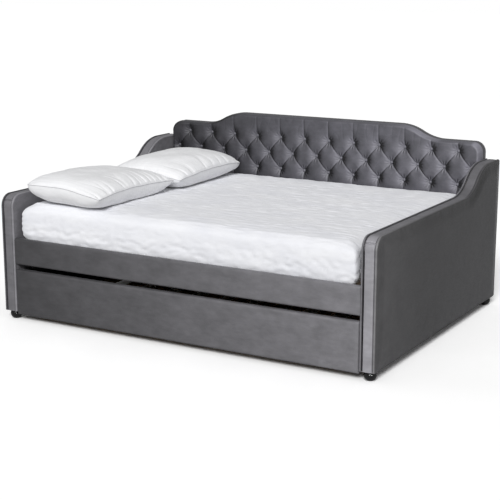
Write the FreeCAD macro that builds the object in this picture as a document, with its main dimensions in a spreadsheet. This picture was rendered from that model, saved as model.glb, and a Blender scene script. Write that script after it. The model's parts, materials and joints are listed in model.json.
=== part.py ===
import FreeCAD, Part
import math
import os
import re
import Sketcher
from FreeCAD import Placement, Rotation, Vector

# A daybed with a camelback tufted back, two upholstered arms and a trundle that rolls out of the
# front. Millimetres. +X runs along the bed to the right as seen from the front, +Y runs from the
# front to the back, +Z is up. The origin is on the floor under the middle of the bed.

SIZES = {
    # The whole bed.
    "bed_width": 2280,
    "bed_depth": 1677,
    "foot_rise": 50,
    # Feet: a squashed ball, and the bolt that holds it.
    "foot_radius": 33.5,
    "foot_neck": 24,
    "foot_base": 15,
    "foot_widest": 26,
    "foot_setback": 42,
    "foot_bolt_low": 26,
    "foot_bolt_high": 88,
    # Arms: a timber frame between two padded faces, edged with a padded strip.
    "arm_thickness": 84,
    "arm_pad": 10,
    "arm_front_height": 710,
    "arm_rear_height": 857,
    "arm_corner": 65,
    "arm_ogee_start": 1150,
    "arm_ogee_run": 375,
    "strip_recess": 2,
    "strip_thickness": 8,
    "post_width": 70,
    "arm_foot_rail": 50,
    "arm_top_rail_low": 630,
    # Back: rear cover, timber frame, board and tufted foam, from the rear forwards.
    "back_shoulder": 957,
    "back_hump": 1032,
    "hump_half": 530,
    "back_ogee_run": 285,
    "back_corner": 62,
    "back_cover": 6,
    "back_frame": 30,
    "back_board": 12,
    "back_foam": 49,
    "back_foam_low": 430,
    "back_foam_round": 12,
    "back_strip": 4,
    "piping": 3,
    "back_post": 46,
    "back_rail_height": 60,
    "back_top_rail_low": 880,
    # Tufting: buttons in three staggered rows.
    "tuft_pitch": 166.8,
    "tuft_drop": 97.9,
    "tuft_top": 899.6,
    "tuft_pocket_radius": 14,
    "tuft_pocket_depth": 28,
    "button_radius": 10,
    "button_crown": 6,
    "button_depth": 8,
    # Front rail and the deck.
    "rail_top": 468,
    "rail_height": 143,
    "rail_board": 20,
    "rail_pad": 8,
    "deck_top": 420,
    "slat_thickness": 20,
    "slat_width": 70,
    "slat_end_gap": 10,
    "bed_slat_pitch": 156,
    "ledger_height": 40,
    "ledger_depth": 25,
    "ledger_end": 46,
    "strap_width": 25,
    "strap_thickness": 1,
    "strap_offset": 560,
    "beam_width": 40,
    "beam_height": 50,
    "beam_wall": 2,
    "front_beam": -290,
    "rear_beam": 262,
    "beam_leg": 38,
    "beam_leg_offset": 480,
    "beam_end_gap": 1,
    # Brackets and bolts.
    "plate": 3,
    "bracket_leg": 36,
    "bracket_low": 330,
    "bracket_high": 397,
    "bolt_radius": 4,
    "bolt_clearance": 0.05,
    "bolt_length": 52,
    "bolt_head_radius": 8,
    "bolt_head": 5,
    "bolt_spread": 15,
    # Trundle.
    "finger_gap": 32,
    "trundle_low": 36,
    "trundle_side_gap": 6,
    "trundle_depth": 1048,
    "trundle_board": 20,
    "trundle_side_low": 66,
    "trundle_side_high": 282,
    "trundle_ledger_low": 66,
    "trundle_ledger_height": 25,
    "trundle_ledger_depth": 66,
    "trundle_ledger_setback": 70,
    "trundle_slat_thickness": 15,
    "trundle_slat_pitch": 180,
    # Trundle wheels.
    "wheel_radius": 28,
    "wheel_width": 20,
    "wheel_rim": 6,
    "wheel_hub_radius": 9,
    "wheel_recess": 4,
    "axle_radius": 4,
    "wheel_offset": 930,
    "ear_gap": 1,
    "ear_width": 30,
    # Bedding.
    "mattress_length": 2032,
    "mattress_depth": 1524,
    "mattress_height": 255,
    "mattress_round": 34,
    "mattress_shift": -8,
    "mattress_setback": 31,
    "pillow_length": 526,
    "pillow_depth": 718,
    "pillow_height": 180,
    "pillow_taper": 105,
    "pillow_corner": 60,
    "pillow_rest": 0.4,
    "front_pillow_middle": -736,
    "rear_pillow_middle": -700,
    "front_pillow_setback": 6,
    "pillow_spacing": 731,
}

BED_SLATS = 14
TRUNDLE_SLATS = 11
TUFT_ROWS = (12, 13, 12)

doc = FreeCAD.newDocument("daybed")
size = doc.addObject("Spreadsheet::Sheet", "size")
for line, (alias, value) in enumerate(SIZES.items(), start=1):
    size.set(f"A{line}", alias)
    size.set(f"B{line}", str(value))
    size.setAlias(f"B{line}", alias)
doc.recompute()

nodes = []


# Working with named sizes.

def linked(text):
    """An expression in which every named size is read from the sheet."""
    def from_sheet(word):
        return f"size.{word.group()}" if word.group() in SIZES else word.group()
    return re.sub(r"[a-z]\w*", from_sheet, str(text))


def number(text):
    """What an expression in named sizes comes to."""
    return float(size.evalExpression(linked(text)))


def bind(piece, prop, text):
    piece.setExpression(prop, linked(text))


def move(piece, corner):
    for axis, text in zip("xyz", corner):
        bind(piece, f"Placement.Base.{axis}", text)


def keep(piece, label):
    """Makes a finished piece one of the bed's nodes."""
    piece.Label = label
    nodes.append(piece)
    return piece


# Pieces made from primitives.

def block(name, corner, lengths):
    """A rectangular piece from its lowest corner and its three lengths."""
    piece = doc.addObject("Part::Box", name)
    for prop, text in zip(("Length", "Width", "Height"), lengths):
        bind(piece, prop, text)
    move(piece, corner)
    return piece


def rod(name, foot, radius, length, axis="z"):
    """A round bar that starts at foot and runs along +X, -Y or +Z."""
    piece = doc.addObject("Part::Cylinder", name)
    bind(piece, "Radius", radius)
    bind(piece, "Height", length)
    piece.Placement = Placement(Vector(), turn_to(axis))
    move(piece, foot)
    return piece


def turn_to(axis):
    """The turn that lays a primitive's own +Z along +X, -Y or +Z."""
    return {"x": Rotation(Vector(0, 1, 0), 90), "-y": Rotation(Vector(1, 0, 0), 90), "z": Rotation()}[axis]


def group(name, pieces):
    """Several separate solids that make one node."""
    whole = doc.addObject("Part::Compound", name)
    whole.Links = pieces
    return whole


def fuse(name, pieces):
    joined = doc.addObject("Part::MultiFuse", name)
    joined.Shapes = pieces
    return joined


def cut(name, base, tool):
    rest = doc.addObject("Part::Cut", name)
    rest.Base = base
    rest.Tool = tool
    return rest


def side_x(side, near, width):
    """The lower X of a piece that lies between near and near + width on one side of the bed."""
    return near if side > 0 else f"-({near}) - ({width})"


# Pieces made from sketches.

def new_body(name, corner=(0, 0, 0)):
    body = doc.addObject("PartDesign::Body", name)
    move(body, corner)
    return body


def outline(body, plane, corners, height=0):
    """A closed sketch on an origin plane of its body, raised by height along the plane's normal.

    Each corner is (x, y) where a straight edge leaves it, or (x, y, radius, turn) where an arc does;
    turn is "left" for an arc that bulges outwards on an outline walked anticlockwise.
    """
    sketch = body.newObject("Sketcher::SketchObject", f"{body.Name}_outline")
    base = next(part for part in body.Origin.OriginFeatures if part.Role == plane)
    sketch.AttachmentSupport = [(base, "")]
    sketch.MapMode = "FlatFace"
    bind(sketch, "AttachmentOffset.Base.z", height)
    points = [Vector(number(corner[0]), number(corner[1]), 0) for corner in corners]
    ends = []
    for index, corner in enumerate(corners):
        start, finish = points[index], points[(index + 1) % len(points)]
        if len(corner) == 2:
            edge = sketch.addGeometry(Part.LineSegment(start, finish))
            ends.append((edge, 1, 2))
        else:
            edge = sketch.addGeometry(arc_between(start, finish, number(corner[2]), corner[3]))
            ends.append((edge, 1, 2) if corner[3] == "left" else (edge, 2, 1))
    for index, corner in enumerate(corners):
        edge, start, finish = ends[index]
        following = ends[(index + 1) % len(ends)]
        sketch.addConstraint(Sketcher.Constraint("Coincident", edge, finish, following[0], following[1]))
        pin_down(sketch, edge, start, corner)
        if len(corner) > 2:
            fixed = sketch.addConstraint(Sketcher.Constraint("Radius", edge, number(corner[2])))
            bind(sketch, f"Constraints[{fixed}]", corner[2])
    return sketch


def arc_between(start, finish, radius, turn):
    """The shorter arc between two points, stored anticlockwise as a sketch needs it."""
    if turn == "right":
        start, finish = finish, start
    chord = finish - start
    rise = math.sqrt(radius ** 2 - (chord.Length / 2) ** 2)
    left = Vector(-chord.y, chord.x, 0).normalize()
    middle = (start + finish) / 2 + left * rise
    circle = Part.Circle(middle, Vector(0, 0, 1), radius)
    angles = [math.atan2(point.y - middle.y, point.x - middle.x) for point in (start, finish)]
    return Part.ArcOfCircle(circle, angles[0], angles[1])


def pin_down(sketch, edge, end, corner):
    """Fixes one end of an edge at its distances from the sketch's origin."""
    for kind, axis, text in (("DistanceX", -2, corner[0]), ("DistanceY", -1, corner[1])):
        value = number(text)
        if value == 0:
            sketch.addConstraint(Sketcher.Constraint("PointOnObject", edge, end, axis))
        else:
            fixed = sketch.addConstraint(Sketcher.Constraint(kind, -1, 1, edge, end, value))
            bind(sketch, f"Constraints[{fixed}]", text)


def rectangle(low_x, low_y, high_x, high_y):
    return [(low_x, low_y), (high_x, low_y), (high_x, high_y), (low_x, high_y)]


def round_rectangle(length, depth, corner):
    """A rectangle about the origin with round corners."""
    x, y = f"({length}) / 2", f"({depth}) / 2"
    return [
        (f"-{x} + {corner}", f"-{y}"), (f"{x} - {corner}", f"-{y}", corner, "left"),
        (x, f"-{y} + {corner}"), (x, f"{y} - {corner}", corner, "left"),
        (f"{x} - {corner}", y), (f"-{x} + {corner}", y, corner, "left"),
        (f"-{x}", f"{y} - {corner}"), (f"-{x}", f"-{y} + {corner}", corner, "left"),
    ]


def pad(body, sketch, length):
    feature = body.newObject("PartDesign::Pad", f"{body.Name}_pad")
    feature.Profile = sketch
    bind(feature, "Length", length)
    return feature


def pocket_through(body, sketch):
    feature = body.newObject("PartDesign::Pocket", f"{body.Name}_pocket")
    feature.Profile = sketch
    feature.Type = "ThroughAll"
    feature.Midplane = True
    return feature


def turned(name, axis, corners, middle):
    """A piece turned about its own +X or +Z axis; its half outline lies on the XZ plane."""
    body = new_body(name, middle)
    sketch = outline(body, "XZ_Plane", corners)
    feature = body.newObject("PartDesign::Revolution", f"{name}_turning")
    feature.Profile = sketch
    feature.ReferenceAxis = (sketch, ["V_Axis" if axis == "z" else "H_Axis"])
    feature.Angle = 360
    return body


# Outlines.

def ogee_radius(run, rise):
    """Two equal arcs that meet tangentially climb rise over run."""
    return f"(({run}) ^ 2 + ({rise}) ^ 2) / (4 * ({rise}))"


def ogee_middle(x, y, run, rise, inset, downhill):
    """Where the two arcs of an ogee meet, moved inwards by inset; downhill is the side it falls to."""
    chord = f"(({run}) ^ 2 + ({rise}) ^ 2)"
    across = f"2 * ({run}) * ({rise}) / {chord}"
    along = f"(({run}) ^ 2 - ({rise}) ^ 2) / {chord}"
    sign = "-" if downhill > 0 else "+"
    return f"{x} {sign} ({inset}) * {across}", f"{y} - ({inset}) * {along}"


def arm_outline(inset, low):
    """An arm from the side: round front corner, level top, ogee up to the level rear part."""
    inset = f"({inset})"
    front, rear = f"-bed_depth / 2 + {inset}", f"bed_depth / 2 - {inset}"
    level, high = f"arm_front_height - {inset}", f"arm_rear_height - {inset}"
    rise = "arm_rear_height - arm_front_height"
    start = "-bed_depth / 2 + arm_ogee_start"
    radius = ogee_radius("arm_ogee_run", rise)
    middle = ogee_middle(
        f"{start} + arm_ogee_run / 2", "(arm_front_height + arm_rear_height) / 2",
        "arm_ogee_run", rise, inset, downhill=-1)
    corner = f"(arm_corner - {inset})"
    return [
        (front, low),
        (rear, low),
        (rear, high),
        (f"{start} + arm_ogee_run", high, f"{radius} - {inset}", "left"),
        (*middle, f"{radius} + {inset}", "right"),
        (start, level),
        (f"{front} + {corner}", level, corner, "left"),
        (front, f"{level} - {corner}"),
    ]


def back_outline(inset, low):
    """The back from the front: a broad hump, an ogee down to each shoulder, round end corners."""
    inset = f"({inset})"
    half = f"bed_width / 2 - arm_thickness - {inset}"
    shoulder, hump = f"back_shoulder - {inset}", f"back_hump - {inset}"
    rise = "back_hump - back_shoulder"
    radius = ogee_radius("back_ogee_run", rise)
    convex, concave = f"{radius} - {inset}", f"{radius} + {inset}"
    corner = f"(back_corner - {inset})"
    return [
        (f"-({half})", low),
        (half, low),
        (half, f"{shoulder} - {corner}", corner, "left"),
        (f"{half} - {corner}", shoulder),
        ("hump_half + back_ogee_run", shoulder, concave, "right"),
        (*back_ogee_middle(inset, 1), convex, "left"),
        ("hump_half", hump),
        ("-hump_half", hump, convex, "left"),
        (*back_ogee_middle(inset, -1), concave, "right"),
        ("-hump_half - back_ogee_run", shoulder),
        (f"-({half}) + {corner}", shoulder, corner, "left"),
        (f"-({half})", f"{shoulder} - {corner}"),
    ]


def back_ogee_middle(inset, side):
    sign = "" if side > 0 else "-"
    return ogee_middle(
        f"{sign}(hump_half + back_ogee_run / 2)", "(back_shoulder + back_hump) / 2",
        "back_ogee_run", "back_hump - back_shoulder", inset, downhill=side)


# Places that several pieces share.

FRONT = "-bed_depth / 2"
REAR = "bed_depth / 2"
ARM_FACE = "bed_width / 2 - arm_thickness"
ARM_CORE = "arm_thickness - 2 * arm_pad"
STRIP_DEPTH = "strip_recess + strip_thickness"
RAIL_BACK = f"{FRONT} + rail_pad + rail_board"
BOARD_FRONT = f"{REAR} - back_cover - back_frame - back_board"
SLAT_LOW = "deck_top - slat_thickness"
HOLE = "bolt_radius + bolt_clearance"
SIDES = (("left", -1), ("right", 1))


def bolt_places():
    """The side, Y and Z of each bolt that holds the front rail and the back to the arms."""
    across = "plate + bracket_leg / 2 + 2"
    for side in (-1, 1):
        for y in (f"{RAIL_BACK} + {across}", f"{BOARD_FRONT} - ({across})"):
            for lift in (-1, 1):
                yield side, y, f"(bracket_low + bracket_high) / 2 + {lift} * bolt_spread"


def bed_bolts():
    """Round-headed bolts whose heads bear on the brackets, from inside the bed."""
    bolts = []
    for count, (side, y, z) in enumerate(bolt_places(), start=1):
        face = f"{ARM_FACE} - plate"
        shank = rod(f"bolt_shank_{count}", (side_x(side, face, "bolt_length"), y, z),
                    "bolt_radius", "bolt_length", "x")
        head = rod(f"bolt_head_{count}", (side_x(side, f"{face} - bolt_head", "bolt_head"), y, z),
                   "bolt_head_radius", "bolt_head", "x")
        bolts.append(fuse(f"bed_bolt_{count}", [shank, head]))
    keep(group("bed_bolts", bolts), "bed_bolts")


def bolt_holes():
    """One clearance hole per bed bolt, long enough for the bracket, the inner pad and the post."""
    length = "bolt_length + 2"
    holes = [
        rod(f"bolt_hole_{count}", (side_x(side, f"{ARM_FACE} - plate - 1", length), y, z),
            HOLE, length, "x")
        for count, (side, y, z) in enumerate(bolt_places(), start=1)]
    return group("bolt_holes", holes)


def foot_places():
    """Name, X and Y of each foot, in the middle of an arm's thickness."""
    for side_name, side in SIDES:
        for end_name, end in (("front", -1), ("rear", 1)):
            x = f"{side} * (bed_width / 2 - arm_thickness / 2)"
            y = f"{end} * (bed_depth / 2 - foot_setback)"
            yield f"{end_name}_{side_name}_foot", x, y


def feet():
    """Squashed-ball feet, each with a blind hole for its bolt."""
    profile = [
        (0, 0),
        ("foot_base", 0, "foot_radius", "left"),
        ("foot_radius", "foot_widest", "foot_radius", "left"),
        ("foot_neck", "foot_rise"),
        (HOLE, "foot_rise"),
        (HOLE, "foot_bolt_low"),
        (0, "foot_bolt_low"),
    ]
    bolts = []
    for name, x, y in foot_places():
        keep(turned(name, "z", profile, (x, y, 0)), name)
        bolts.append(rod(f"{name}_bolt", (x, y, "foot_bolt_low"), "bolt_radius",
                         "foot_bolt_high - foot_bolt_low"))
    keep(group("foot_bolts", bolts), "foot_bolts")


def foot_bolt_holes():
    holes = [
        rod(f"{name}_hole", (x, y, "foot_rise - 1"), HOLE, "foot_bolt_high - foot_rise + 1")
        for name, x, y in foot_places()]
    return group("foot_bolt_holes", holes)


# Arms.

def arm(side_name, side, bolt_tool, foot_tool):
    """One arm: timber frame, padded faces and the padded strip round its edge."""
    core = side_x(side, f"{ARM_FACE} + arm_pad", ARM_CORE)
    inner_edge = f"{FRONT} + {STRIP_DEPTH}"
    length = f"bed_depth - 2 * ({STRIP_DEPTH})"
    rail = block(f"{side_name}_foot_rail_blank", (core, inner_edge, "foot_rise"),
                 (ARM_CORE, length, "arm_foot_rail"))
    keep(cut(f"{side_name}_arm_bottom_rail", rail, foot_tool), f"{side_name}_arm_bottom_rail")
    for end_name, y in (("front", inner_edge), ("rear", f"{REAR} - ({STRIP_DEPTH}) - post_width")):
        name = f"{side_name}_arm_{end_name}_post"
        low = "foot_rise + arm_foot_rail"
        blank = block(f"{name}_blank", (core, y, low),
                      (ARM_CORE, "post_width", f"arm_top_rail_low - ({low})"))
        keep(cut(name, blank, bolt_tool), name)
    name = f"{side_name}_arm_top_rail"
    body = new_body(name, (core, 0, 0))
    pad(body, outline(body, "YZ_Plane", arm_outline(STRIP_DEPTH, "arm_top_rail_low")), ARM_CORE)
    keep(body, name)
    arm_pads(side_name, side, bolt_tool)
    name = f"{side_name}_arm_edge_strip"
    body = new_body(name, (core, 0, 0))
    pad(body, outline(body, "YZ_Plane", arm_outline("strip_recess", "foot_rise")), ARM_CORE)
    pocket_through(body, outline(body, "YZ_Plane", arm_outline(STRIP_DEPTH, "foot_rise - 1")))
    keep(body, name)


def arm_pads(side_name, side, bolt_tool):
    """The two padded faces; the inner one is drilled for the bed bolts."""
    outer = new_body(f"{side_name}_arm_outer_pad",
                     (side_x(side, "bed_width / 2 - arm_pad", "arm_pad"), 0, 0))
    pad(outer, outline(outer, "YZ_Plane", arm_outline(0, "foot_rise")), "arm_pad")
    keep(outer, f"{side_name}_arm_outer_pad")
    inner = new_body(f"{side_name}_arm_inner_blank", (side_x(side, ARM_FACE, "arm_pad"), 0, 0))
    pad(inner, outline(inner, "YZ_Plane", arm_outline(0, "foot_rise")), "arm_pad")
    keep(cut(f"{side_name}_arm_inner_pad", inner, bolt_tool), f"{side_name}_arm_inner_pad")


# Back.

def back_layer(name, rear, thickness, inset, low):
    """A slab of the back's outline whose rear face is at Y = rear."""
    body = new_body(name, (0, rear, 0))
    pad(body, outline(body, "XZ_Plane", back_outline(inset, low)), thickness)
    return body


def back():
    """The back's shell, frame and board."""
    keep(back_layer("back_rear_cover", REAR, "back_cover", "piping", "foot_rise"), "back_rear_cover")
    ring = back_layer("back_piping", REAR, "back_cover", 0, "foot_rise")
    pocket_through(ring, outline(ring, "XZ_Plane", back_outline("piping", "foot_rise - 1")))
    keep(ring, "back_piping")
    frame_rear = f"{REAR} - back_cover"
    strip = back_layer("back_edge_strip", frame_rear, "back_frame + back_board", 0, "foot_rise")
    pocket_through(strip, outline(strip, "XZ_Plane", back_outline("back_strip", "foot_rise - 1")))
    keep(strip, "back_edge_strip")
    board = back_layer("back_board", f"{frame_rear} - back_frame", "back_board", "back_strip", "foot_rise")
    keep(board, "back_board")
    top = back_layer("back_top_rail", frame_rear, "back_frame", "back_strip", "back_top_rail_low")
    keep(top, "back_top_rail")
    back_timbers(f"{frame_rear} - back_frame")


def back_timbers(front):
    """Posts at the ends of the back and rails between them."""
    near = f"{ARM_FACE} - back_strip - back_post"
    for side_name, side in SIDES:
        name = f"back_{side_name}_post"
        post = block(name, (side_x(side, near, "back_post"), front, "foot_rise"),
                     ("back_post", "back_frame", "back_top_rail_low - foot_rise"))
        keep(post, name)
    lows = {"back_bottom_rail": "foot_rise", "back_middle_rail": f"{SLAT_LOW} - back_rail_height"}
    for name, low in lows.items():
        rail = block(name, (f"-({near})", front, low), (f"2 * ({near})", "back_frame", "back_rail_height"))
        keep(rail, name)


def tufted_pad():
    """Foam with a round upper edge and a pocket for every button."""
    body = back_layer("back_tufted_pad", BOARD_FRONT, "back_foam", 1, "back_foam_low")
    doc.recompute()
    edges = [
        f"Edge{index}" for index, edge in enumerate(body.Shape.Edges, start=1)
        if is_upper_front(edge)]
    slab = body.Tip
    rounding = body.newObject("PartDesign::Fillet", "back_tufted_pad_rounding")
    rounding.Base = (slab, edges)
    bind(rounding, "Radius", "back_foam_round")
    doc.recompute()
    before = body.Shape.Volume
    for row, count in enumerate(TUFT_ROWS):
        tuft_pockets(body, row, count)
    doc.recompute()
    drilled = (before - body.Shape.Volume) / sum(TUFT_ROWS)
    expected = math.pi * number("tuft_pocket_radius ^ 2 * tuft_pocket_depth")
    if abs(drilled / expected - 1) > 0.02:
        raise ValueError(f"a tuft pocket removes {drilled:.0f} mm3, not {expected:.0f}")
    keep(body, "back_tufted_pad")


def is_upper_front(edge):
    """True for an edge of the foam's front face other than its lower edge."""
    front = number(f"{BOARD_FRONT} - back_foam")
    low = number("back_foam_low")
    on_front = all(abs(vertex.Y - front) < 0.01 for vertex in edge.Vertexes)
    return on_front and any(vertex.Z > low + 1 for vertex in edge.Vertexes)


def tuft_pockets(body, row, count):
    """One row of round pockets, cut inwards from the foam's front face."""
    sketch = body.newObject("Sketcher::SketchObject", f"tuft_row_{row + 1}")
    base = next(part for part in body.Origin.OriginFeatures if part.Role == "XZ_Plane")
    sketch.AttachmentSupport = [(base, "")]
    sketch.MapMode = "FlatFace"
    bind(sketch, "AttachmentOffset.Base.z", "back_foam")
    place = (tuft_x(0, count), tuft_z(row))
    circle = Part.Circle(Vector(number(place[0]), number(place[1]), 0), Vector(0, 0, 1),
                         number("tuft_pocket_radius"))
    edge = sketch.addGeometry(circle)
    fixed = sketch.addConstraint(Sketcher.Constraint("Radius", edge, number("tuft_pocket_radius")))
    bind(sketch, f"Constraints[{fixed}]", "tuft_pocket_radius")
    pin_down(sketch, edge, 3, place)
    pocket = body.newObject("PartDesign::Pocket", f"tuft_row_{row + 1}_pocket")
    pocket.Profile = sketch
    bind(pocket, "Length", "tuft_pocket_depth")
    pattern = body.newObject("PartDesign::LinearPattern", f"tuft_row_{row + 1}_pattern")
    pattern.Originals = [pocket]
    pattern.Direction = (sketch, ["H_Axis"])
    bind(pattern, "Length", f"{count - 1} * tuft_pitch")
    pattern.Occurrences = count
    body.Tip = pattern


def tuft_x(index, count):
    return f"({index} - {(count - 1) / 2}) * tuft_pitch"


def tuft_z(row):
    return f"tuft_top - {row} * tuft_drop"


def tuft_buttons():
    """Buttons seated on the floors of the pockets, crowned towards the front."""
    seat = f"{BOARD_FRONT} - back_foam + tuft_pocket_depth"
    buttons = []
    for row, count in enumerate(TUFT_ROWS):
        for index in range(count):
            button = doc.addObject("Part::Cone", f"tuft_button_{row + 1}_{index + 1}")
            bind(button, "Radius1", "button_radius")
            bind(button, "Radius2", "button_crown")
            bind(button, "Height", "button_depth")
            button.Placement = Placement(Vector(), turn_to("-y"))
            move(button, (tuft_x(index, count), seat, tuft_z(row)))
            buttons.append(button)
    keep(group("tuft_buttons", buttons), "tuft_buttons")


# Front rail and deck.

def front_rail():
    low = "rail_top - rail_height"
    span = f"2 * ({ARM_FACE})"
    board = block("front_rail_board", (f"-({ARM_FACE})", f"{FRONT} + rail_pad", low),
                  (span, "rail_board", "rail_height"))
    keep(board, "front_rail_board")
    cover = block("front_rail_pad", (f"-({ARM_FACE})", FRONT, low), (span, "rail_pad", "rail_height"))
    keep(cover, "front_rail_pad")


def ledgers():
    """Strips that carry the slats' ends, cut short to leave room for the corner brackets."""
    half = f"{ARM_FACE} - ledger_end"
    low = f"{SLAT_LOW} - ledger_height"
    for name, y in (("front_slat_ledger", RAIL_BACK), ("rear_slat_ledger", f"{BOARD_FRONT} - ledger_depth")):
        keep(block(name, (f"-({half})", y, low), (f"2 * ({half})", "ledger_depth", "ledger_height")), name)


def bed_slats():
    y = f"{RAIL_BACK} + slat_end_gap"
    length = f"{BOARD_FRONT} - slat_end_gap - ({y})"
    slats = [
        block(f"bed_slat_{index + 1}",
              (f"({index} - {(BED_SLATS - 1) / 2}) * bed_slat_pitch - slat_width / 2", y, SLAT_LOW),
              ("slat_width", length, "slat_thickness"))
        for index in range(BED_SLATS)]
    keep(group("bed_slats", slats), "bed_slats")
    half = f"{(BED_SLATS - 1) / 2} * bed_slat_pitch + slat_width / 2"
    straps = [
        block(f"slat_strap_{end_name}",
              (f"-({half})", f"{end} * strap_offset - strap_width / 2", f"{SLAT_LOW} - strap_thickness"),
              (f"2 * ({half})", "strap_width", "strap_thickness"))
        for end_name, end in (("front", -1), ("rear", 1))]
    keep(group("slat_straps", straps), "slat_straps")


def support_beams():
    """Two steel tubes under the slats; the rear one stands on legs behind the trundle."""
    half = f"{ARM_FACE} - plate - beam_end_gap"
    low = f"{SLAT_LOW} - beam_height"
    for name, middle in (("front_support_beam", "front_beam"), ("rear_support_beam", "rear_beam")):
        y = f"{middle} - beam_width / 2"
        outside = block(f"{name}_outside", (f"-({half})", y, low),
                        (f"2 * ({half})", "beam_width", "beam_height"))
        inside = block(f"{name}_inside", (f"-({half}) - 1", f"{y} + beam_wall", f"{low} + beam_wall"),
                       (f"2 * ({half}) + 2", "beam_width - 2 * beam_wall", "beam_height - 2 * beam_wall"))
        keep(cut(name, outside, inside), name)
    legs = [
        block(f"beam_leg_{side_name}",
              (f"{side} * beam_leg_offset - beam_leg / 2", "rear_beam - beam_leg / 2", 0),
              ("beam_leg", "beam_leg", low))
        for side_name, side in SIDES]
    keep(group("support_beam_legs", legs), "support_beam_legs")
    beam_brackets(low)


def beam_brackets(low):
    """Open stirrups on the arms' inner faces that the beams' ends sit in."""
    brackets = []
    slack = "bolt_clearance"
    for side_name, side in SIDES:
        for end_name, middle in (("front", "front_beam"), ("rear", "rear_beam")):
            name = f"beam_bracket_{end_name}_{side_name}"
            width = f"beam_width + 2 * {slack} + 2 * plate"
            y = f"{middle} - ({width}) / 2"
            near = f"{ARM_FACE} - bracket_leg"
            floor = f"{low} - plate"
            leg_x = side_x(side, near, "bracket_leg")
            seat = block(f"{name}_seat", (leg_x, y, floor), ("bracket_leg", width, "plate"))
            plate_x = side_x(side, f"{ARM_FACE} - plate", "plate")
            rear = block(f"{name}_plate", (plate_x, y, floor), ("plate", width, "beam_height"))
            cheeks = [
                block(f"{name}_cheek_{count}", (leg_x, cheek_y, floor),
                      ("bracket_leg", "plate", "beam_height"))
                for count, cheek_y in enumerate((y, f"{y} + {width} - plate"), start=1)]
            brackets.append(fuse(name, [seat, rear, *cheeks]))
    keep(group("beam_brackets", brackets), "beam_brackets")


def corner_brackets(bolt_tool):
    """Angle plates that join the front rail and the back to the arms, under the slats."""
    angles = []
    height = "bracket_high - bracket_low"
    for side_name, side in SIDES:
        for end_name, board_y, leg_y in (
                ("front", RAIL_BACK, RAIL_BACK),
                ("rear", f"{BOARD_FRONT} - plate", f"{BOARD_FRONT} - bracket_leg - plate")):
            name = f"corner_bracket_{end_name}_{side_name}"
            near = f"{ARM_FACE} - bracket_leg"
            on_board = block(f"{name}_board_leg", (side_x(side, near, "bracket_leg"), board_y, "bracket_low"),
                             ("bracket_leg", "plate", height))
            on_arm = block(f"{name}_arm_leg",
                           (side_x(side, f"{ARM_FACE} - plate", "plate"), leg_y, "bracket_low"),
                           ("plate", "bracket_leg + plate", height))
            angles.append(fuse(name, [on_board, on_arm]))
    blank = group("corner_bracket_blanks", angles)
    keep(cut("corner_brackets", blank, bolt_tool), "corner_brackets")


# Trundle.

def trundle():
    """A shallow box on wheels, hidden by a padded front panel."""
    half = f"{ARM_FACE} - trundle_side_gap"
    high = "rail_top - rail_height - finger_gap"
    panel = (f"2 * ({half})", f"{high} - trundle_low")
    keep(block("trundle_front_pad", (f"-({half})", FRONT, "trundle_low"), (panel[0], "rail_pad", panel[1])),
         "trundle_front_pad")
    keep(block("trundle_front_board", (f"-({half})", f"{FRONT} + rail_pad", "trundle_low"),
               (panel[0], "trundle_board", panel[1])), "trundle_front_board")
    inside = f"{FRONT} + rail_pad + trundle_board"
    rear = f"{FRONT} + trundle_depth"
    height = "trundle_side_high - trundle_side_low"
    for side_name, side in SIDES:
        name = f"trundle_{side_name}_side"
        x = side_x(side, f"{half} - trundle_board", "trundle_board")
        lengths = ("trundle_board", f"{rear} - ({inside})", height)
        keep(block(name, (x, inside, "trundle_side_low"), lengths), name)
    clear = f"{half} - trundle_board"
    keep(block("trundle_rear_board", (f"-({clear})", f"{rear} - trundle_board", "trundle_side_low"),
               (f"2 * ({clear})", "trundle_board", height)), "trundle_rear_board")
    trundle_deck(clear, inside, f"{rear} - trundle_board")


def trundle_deck(clear, inside, rear):
    """Three ledgers across the trundle with the slats on top of them."""
    places = {
        "front": f"{inside} + trundle_ledger_setback",
        "middle": f"(({inside}) + ({rear}) - trundle_ledger_depth) / 2",
        "rear": f"{rear} - trundle_ledger_depth",
    }
    strips = [
        block(f"trundle_ledger_{name}", (f"-({clear})", y, "trundle_ledger_low"),
              (f"2 * ({clear})", "trundle_ledger_depth", "trundle_ledger_height"))
        for name, y in places.items()]
    keep(group("trundle_ledgers", strips), "trundle_ledgers")
    low = "trundle_ledger_low + trundle_ledger_height"
    slats = [
        block(f"trundle_slat_{index + 1}",
              (f"({index} - {(TRUNDLE_SLATS - 1) / 2}) * trundle_slat_pitch - slat_width / 2", inside, low),
              ("slat_width", f"{rear} - ({inside})", "trundle_slat_thickness"))
        for index in range(TRUNDLE_SLATS)]
    keep(group("trundle_slats", slats), "trundle_slats")
    wheels([("front", places["front"]), ("rear", places["rear"])])


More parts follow.
